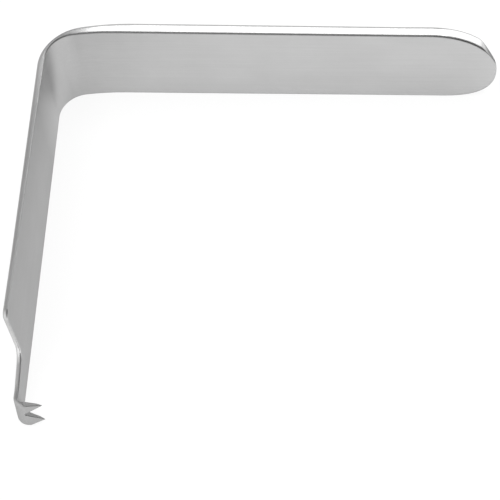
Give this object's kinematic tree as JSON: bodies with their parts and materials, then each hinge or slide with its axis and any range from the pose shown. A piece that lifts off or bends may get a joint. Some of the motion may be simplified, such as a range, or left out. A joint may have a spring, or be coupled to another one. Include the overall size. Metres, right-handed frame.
{
  "type": "handheld surgical retractor",
  "caption": "Hand-held surgical retractor: a flat steel strip bent square into handle and blade, with a narrow neck and a toothed hooked foot.",
  "frame": {"origin": "middle of the footprint, on the plane that the straight long edge rests on", "axes": "X runs along the handle to its free end, Y points up the blade to the handle, Z is the strip's width, upward as the part lies on its straight edge"},
  "size_m": [0.1502, 0.1348, 0.0398],
  "materials": {
    "retractor": "satin lengthwise brushing on the broad faces, polished narrow edges"
  },
  "bodies": {
    "root": {"retractor": "retractor"}
  },
  "joints": []
}
